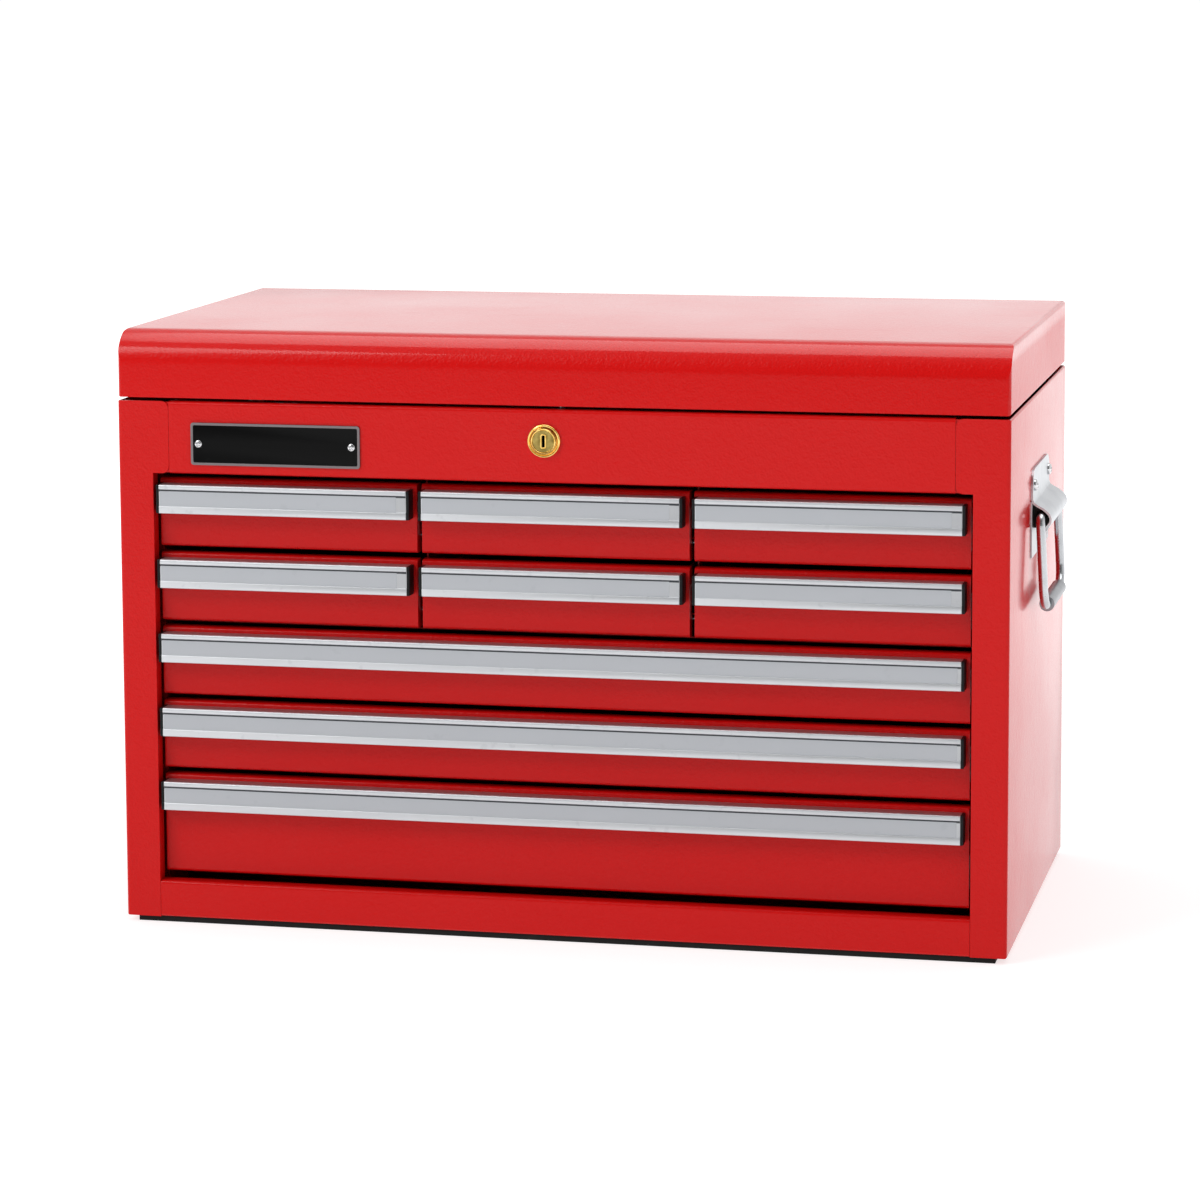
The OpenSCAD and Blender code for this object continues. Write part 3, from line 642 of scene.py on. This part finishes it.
for node, body in (("hinge_cabinet_leaf", "cabinet"), ("hinge_lid_leaf", "lid")):
    low, high = low_high(node)
    pin_z = sum(v.z for v in low_high("hinge_pin")) / 2
    flat = (low.z, pin_z - PIN_GAP) if body == "cabinet" else (pin_z + PIN_GAP, high.z)
    mesh = repeated(dome_rivet, hinge_metal, "+y", (low.x + RIVET_PITCH / 2, high.y, sum(flat) / 2),
                    (RIVET_PITCH, 0, 0), 14)
    shown(f"hinge_rivets_{body}", mesh, hinge_metal, body)

low, high = low_high("side_right")
marks = [repeated(weld_mark, body_red, "+y", (side * (high.x - 11 * MM), high.y, low.z + 28 * MM),
                  (0, 0, 50 * MM), 7, spin=3.1) for side in (1, -1)]
shown("weld_marks", joined("weld_marks", marks), body_red, "cabinet")
print("screws, rivets and weld marks done")

# %% Bearing balls in the slides
PARTITION = 1.2 * MM
SLIDE_HEIGHT = 22.5 * MM
RACE_GAP = 19.8 * MM
BALLS_IN_RACE = 14
low, high = low_high("cabinet_slides")
bay_edge = high.x
small_half = (2 * bay_edge - 2 * PARTITION) / 6


def bay(drawer):
    """The middle and the half width of the bay that holds a drawer."""
    if drawer > 6:
        return 0.0, bay_edge
    return ((drawer - 1) % 3 - 1) * (2 * small_half + PARTITION), small_half


rows = []
for i in drawers:
    middle = low_high(f"drawer_{i}")[0].z + SLIDE_HEIGHT
    centre, half = bay(i)
    for side in (-1, 1):
        start = (centre + side * (half - 5 * MM), low.y + 4 * MM, middle - RACE_GAP / 2)
        rows.append(repeated(bearing, rod_chrome, "+z", start, (0, 9 * MM, 0), BALLS_IN_RACE,
                             (0, 0, RACE_GAP), 2))
shown("slide_bearings", joined("slide_bearings", rows), rod_chrome, "cabinet")
print("bearing balls:", len(rows) * 2 * BALLS_IN_RACE)

# %% [markdown]
# ## Liner mats
# Each drawer and the top tray has a ribbed foam mat, a sheet with round ribs every 6 mm, or 8 mm in
# the tray. The ribs stop short of the sides, and each mat lies on its own floor.

# %% Mats
def ribbed_mat(name, x_span, y_span, floor, body, pitch=6 * MM):
    thick = 0.9 * MM
    outline = rounded((x_span[0], y_span[0]), (x_span[1], y_span[1]), 4 * MM)
    sheet = pushed(name + "_sheet", outline, 2, floor + 0.05 * MM, floor + thick)
    radius = 0.65 * MM
    arch = [(radius * cos(pi * k / 6), 0.9 * radius * sin(pi * k / 6)) for k in range(7)]
    half = (x_span[1] - x_span[0]) / 2 - 3 * MM
    rib = pushed("rib", arch, 0, -half, half)
    count = int((y_span[1] - y_span[0] - 8 * MM) / pitch) + 1
    start = (sum(x_span) / 2, y_span[0] + 4 * MM, floor + thick - 0.02 * MM)
    ribs = repeated(rib, mat_foam, "+z", start, (0, pitch, 0), count)
    shown(name, joined(name, [sheet, ribs]), mat_foam, body)


for i in drawers:
    low, high = low_high(f"drawer_{i}")
    centre, half = bay(i)
    reach = half - 12.6 * MM
    ribbed_mat(f"drawer_mat_{i}", (centre - reach, centre + reach),
               (low.y + 4 * MM, high.y - 3 * MM), low.z + 3.7 * MM, f"drawer_{i}")
low, high = low_high("till_floor")
ribbed_mat("till_mat", (low.x + 2 * MM, high.x - 2 * MM), (low.y + 3 * MM, high.y - 3 * MM),
           low.z + 1.2 * MM, "cabinet", 8 * MM)
print("ribbed mats done")

# %% [markdown]
# ## Label strips on the pulls
# The flat face of each pull is a channel for a label. A grey strip lies in it. A dark grey band above
# the strip is painted shade: it stands for the thin shadow line below the upper lip. The strip stops
# short of the right end.

# %% Label strips
for i in drawers:
    low, high = low_high(f"pull_{i}")
    band = low.y + 0.6 * MM
    ends = (low.x + 0.6 * MM, high.x - (2.5 if i > 6 else 7) * MM)
    # The thin dark band above the strip is painted shade, the shadow line under the upper lip.
    seat = rounded((band - 0.08 * MM, high.z - 4.9 * MM), (band + 0.4 * MM, high.z - 3.4 * MM),
                   0.05 * MM, 1)
    shown(f"label_seat_{i}", pushed("label_painted_shadow", seat, 0, low.x + 0.2 * MM, high.x - 0.2 * MM),
          painted_shadow_line, f"drawer_{i}")
    tall = (low.z + 5.2 * MM, high.z - 4.5 * MM)
    face = rounded((band - 0.2 * MM, tall[0]), (band + 0.3 * MM, tall[1]), 0.12 * MM, 3)
    shown(f"label_strip_{i}", pushed("label_strip", face, 0, *ends), strip_grey, f"drawer_{i}")
print("label strips done")

# %% [markdown]
# ## Painted shade in the hanger hoods
# A black block fills each hanger's hood round the bail's rod. It is painted shade: it stands for the
# deep shadow inside the hood. Its outline follows the inside of the hood with a small gap. The pairs
# are millimetres out from the side and up from the foot of the hanger's drawing.

# %% Bail buffers
low, high = low_high("handle_plate_right")
HANGER_TOP = 313 * MM
base = high.z - HANGER_TOP
INSIDE_HOOD = [(1.3, 273), (1.3, 278), (1.3, 283.5), (1.3, 288.3), (4.0, 287.2), (7.5, 285.3),
               (9.8, 283.5), (11.7, 281.5), (12.5, 279.6), (12.3, 277.3), (10.6, 274.4), (9.5, 273)]
BAIL_PIVOT = Vector((7, 281))
BORE_R = 3.9
bore = [BAIL_PIVOT + (Vector(p) - BAIL_PIVOT).normalized() * BORE_R for p in INSIDE_HOOD]
blocks = []
for side in (1, -1):
    outline, hole = [[(side * (wall_x + x * MM), base + z * MM) for x, z in points]
                     for points in (INSIDE_HOOD, bore)]
    blocks.append(pushed("hood_shade_block", outline, 1, low.y + 3 * MM, high.y - 3 * MM, hole=hole))
# Black blocks inside the hoods, in the rubber finish: painted shade for the dark inside of each hood.
shown("bail_buffers", joined("bail_buffers", blocks), rubber, "cabinet")
print("hood shade blocks done")

# %% Nameplate border
low, high = low_high("nameplate")
outer = rounded((low.x, low.z), (high.x, high.z), 2 * MM)
BORDER = 1.7 * MM
inner = rounded((low.x + BORDER, low.z + BORDER), (high.x - BORDER, high.z - BORDER), 1.0 * MM)
border = pushed("nameplate_border", outer, 1, low.y - 0.3 * MM, low.y + 0.4 * MM, hole=inner)
soften(shown("nameplate_border", border, border_grey, "cabinet"), 0.22 * MM)
print("nameplate border done")

# %% [markdown]
# ## Lock ring
# The ring is one turned brass part: a round outer bead, a groove, and a taller inner bead that holds
# the plug. The CAD's stepped ring is cut off at the panel and this turned one stands in its place.

# %% Lock ring
low, high = low_high("lock_housing")
panel_y = low_high("top_rail")[0].y
centre = Vector(((low.x + high.x) / 2, 0, (low.z + high.z) / 2))
housing = refined("lock_housing", 0.2 * MM)
work = bmesh.new()
work.from_mesh(housing.data)
everything = work.verts[:] + work.edges[:] + work.faces[:]
bmesh.ops.bisect_plane(work, geom=everything, plane_co=(0, panel_y + 0.1 * MM, 0), plane_no=(0, -1, 0),
                       clear_outer=True)
bmesh.ops.holes_fill(work, edges=work.edges, sides=0)
work.to_mesh(housing.data)
work.free()
BEADS = [(11.5, 0), (11.5, 0.9), (11.36, 1.5), (11.0, 2.05), (10.5, 2.3), (10.0, 2.2), (9.62, 1.8),
         (9.5, 1.1), (9.36, 1.1), (9.3, 2.3), (9.18, 2.9), (9.0, 3.2), (8.86, 3.25), (8.78, 3.0),
         (8.76, 1.6), (8.76, 0)]
PLUG_BEAD = [(8.66, 0), (8.66, 0.25), (8.5, 0.6), (8.15, 0.85), (7.75, 0.8), (7.45, 0.5), (7.3, 0.05),
             (7.3, 0)]
to_lock = Matrix.Translation((centre.x, panel_y, centre.z)) @ Matrix.Rotation(pi / 2, 4, "X")
ring = turned("lock_ring", [(r * MM, h * MM) for r, h in BEADS + [BEADS[0]]], 96)
ring.transform(to_lock)
shown("lock_ring", ring, ring_brass, "cabinet")
face_y = low_high("lock_cylinder")[0].y
bead = turned("plug_bead", [(r * MM, h * MM) for r, h in PLUG_BEAD + [PLUG_BEAD[0]]], 96)
bead.transform(Matrix.Translation((0, face_y - panel_y, 0)) @ to_lock)
shown("plug_bead", bead, ring_brass, "lock")
outer, inner = [rounded((centre.x - x * MM, centre.z - z * MM), (centre.x + x * MM, centre.z + z * MM),
                        r * MM) for x, z, r in ((2.0, 4.9, 1.2), (1.15, 4.0, 0.7))]
rim = pushed("key_rim", outer, 1, face_y - 0.35 * MM, face_y + 0.1 * MM, hole=inner)
soften(shown("key_rim", rim, ring_brass, "lock"), 0.12 * MM)
print("lock ring turned,", len(ring.polygons), "faces")

# %% [markdown]
# ## Floor, light and camera
# The chest stands on white. The floor is plain and pale and glows, more so away from the chest, so
# it stays white up to the soft shadow. The world is bright behind the chest and darker on the
# camera's side, so the front stays deep red while the top and the side glare.

# %% Floor
def studio_floor():
    half = 9.0
    mesh = bpy.data.meshes.new("floor")
    corners = [(-half, -half, 0), (half, -half, 0), (half, half, 0), (-half, half, 0)]
    mesh.from_pydata(corners, [], [(0, 1, 2, 3)])
    floor = bpy.data.objects.new("floor", mesh)
    bpy.context.scene.collection.objects.link(floor)
    paper = Finish("floor_paper", Roughness=1.0, Specular_IOR_Level=0.0, Emission_Color=(1, 1, 1, 1))
    distance = paper.add("VectorMath", {"operation": "LENGTH"}, {0: paper.place}, out=1)
    paper.set("Emission Strength", paper.band(distance, 0.5, 1.6) * 0.35 + 0.7)
    paper.set("Base Color", paper.blend(paper.noise(0.8, 3), (0.42, 0.42, 0.42, 1),
                                        (0.45, 0.45, 0.45, 1)))
    mesh.materials.append(paper.material)


studio_floor()

# %% World and lamps
def studio_world(front, behind, overhead):
    """Light that grows from front to behind, and falls to a share of that overhead."""
    world = bpy.data.worlds.new("studio")
    bpy.context.scene.world = world
    world.use_nodes = True
    tree = world.node_tree
    tree.nodes.clear()

    def ramp(source, span, values):
        node = tree.nodes.new("ShaderNodeMapRange")
        for socket, value in zip(("From Min", "From Max", "To Min", "To Max"), span + values):
            node.inputs[socket].default_value = value
        tree.links.new(source, node.inputs["Value"])
        return node.outputs[0]

    place = tree.nodes.new("ShaderNodeTexCoord")
    split = tree.nodes.new("ShaderNodeSeparateXYZ")
    light = tree.nodes.new("ShaderNodeBackground")
    output = tree.nodes.new("ShaderNodeOutputWorld")
    share = tree.nodes.new("ShaderNodeMath")
    share.operation = "MULTIPLY"
    tree.links.new(place.outputs["Generated"], split.inputs[0])
    tree.links.new(ramp(split.outputs["Y"], (-0.75, 0.05), (front, behind)), share.inputs[0])
    tree.links.new(ramp(split.outputs["Z"], (0.2, 0.7), (1.0, overhead)), share.inputs[1])
    tree.links.new(share.outputs[0], light.inputs["Strength"])
    light.inputs["Color"].default_value = (1, 1, 1, 1)
    tree.links.new(light.outputs[0], output.inputs["Surface"])


def soft_box(name, place, aim, width, height, watts):
    lamp = bpy.data.lights.new(name, "AREA")
    lamp.shape = "RECTANGLE"
    lamp.size = width
    lamp.size_y = height
    lamp.energy = watts
    box = bpy.data.objects.new(name, lamp)
    bpy.context.scene.collection.objects.link(box)
    box.location = place
    box.rotation_euler = (Vector(aim) - Vector(place)).to_track_quat("-Z", "Y").to_euler()
    box.visible_camera = False


studio_world(front=0.2, behind=1.03, overhead=0.5)
soft_box("key", (-2.3, -2.6, 2.9), (0, 0, 0.2), 2.0, 2.0, 76)
soft_box("overhead", (0.3, 0.3, 2.9), (0.3, 0.1, 0.3), 3.0, 2.2, 44)
soft_box("side_fill", (3.2, -1.8, 1.6), (0, 0, 0.2), 2.4, 2.0, 2.5)
print("lights ready")

# %% Camera
CAMERA_PLACE = Vector((0.6193, -2.8014, 0.6919))
CAMERA_YAW = 0.2194
CAMERA_PITCH = 0.1257
CAMERA_ROLL = -0.0044
FOCAL_WIDTHS = 3.3829
LENS_SHIFT = -0.1390


def studio_camera():
    """A long lens, level but for a small pitch, with its frame shifted down as on a view camera."""
    level = cos(CAMERA_PITCH)
    back = Vector((sin(CAMERA_YAW) * level, -cos(CAMERA_YAW) * level, sin(CAMERA_PITCH)))
    side = (-back).cross(Vector((0, 0, 1))).normalized()
    up = side.cross(-back)
    turned_side = side * cos(CAMERA_ROLL) + up * sin(CAMERA_ROLL)
    turned_up = up * cos(CAMERA_ROLL) - side * sin(CAMERA_ROLL)
    lens = bpy.data.cameras.new("camera")
    lens.lens = lens.sensor_width * FOCAL_WIDTHS
    lens.shift_y = LENS_SHIFT
    camera = bpy.data.objects.new("camera", lens)
    bpy.context.scene.collection.objects.link(camera)
    rotation = Matrix((turned_side, turned_up, back)).transposed().to_4x4()
    camera.matrix_world = Matrix.Translation(CAMERA_PLACE) @ rotation
    bpy.context.scene.camera = camera
    return camera


camera = studio_camera()
bpy.context.scene.view_settings.view_transform = "Standard"
print("camera lens", round(camera.data.lens, 2), "mm")
